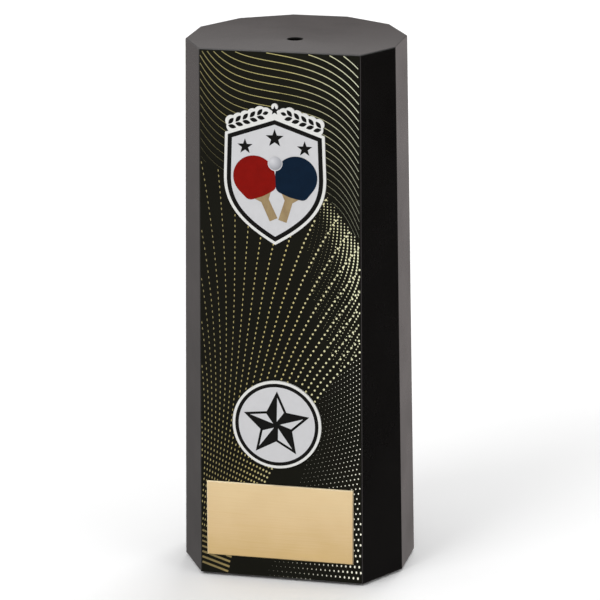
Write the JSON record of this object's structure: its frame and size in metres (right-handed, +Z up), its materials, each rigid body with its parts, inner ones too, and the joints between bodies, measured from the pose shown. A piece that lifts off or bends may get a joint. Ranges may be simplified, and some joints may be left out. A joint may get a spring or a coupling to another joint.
{
  "type": "column trophy",
  "caption": "Ten-sided black trophy column with a flat printed front, shield badge, star disc, engraving plate and a figure hole.",
  "frame": {"origin": "on the floor under the centre of the regular twelve-gon that the column is cut from", "axes": "+Z up through the figure hole's top, -Y out of the printed front, +X to the right of someone facing it"},
  "size_m": [0.0628, 0.0548, 0.15],
  "materials": {
    "column_plastic": "satin",
    "cover_plastic": "matte",
    "panel_print": "satin",
    "badge_print": "gloss",
    "disc_print": "gloss",
    "plate_gold": "brushed",
    "adhesive": "matte",
    "felt_black": "matte",
    "screw_steel": "zinc plated",
    "ballast_iron": "as cast",
    "pad_foam": "matte"
  },
  "bodies": {
    "root": {"column_shell": "column_plastic", "base_cover": "cover_plastic", "front_panel": "panel_print", "shield_badge": "badge_print", "star_disc": "disc_print", "engraving_plate": "plate_gold", "panel_tape": "adhesive", "shield_tape": "adhesive", "disc_tape": "adhesive", "plate_tape": "adhesive", "base_felt": "felt_black", "base_screws": "screw_steel", "ballast_block": "ballast_iron", "ballast_pad": "pad_foam"}
  },
  "joints": []
}
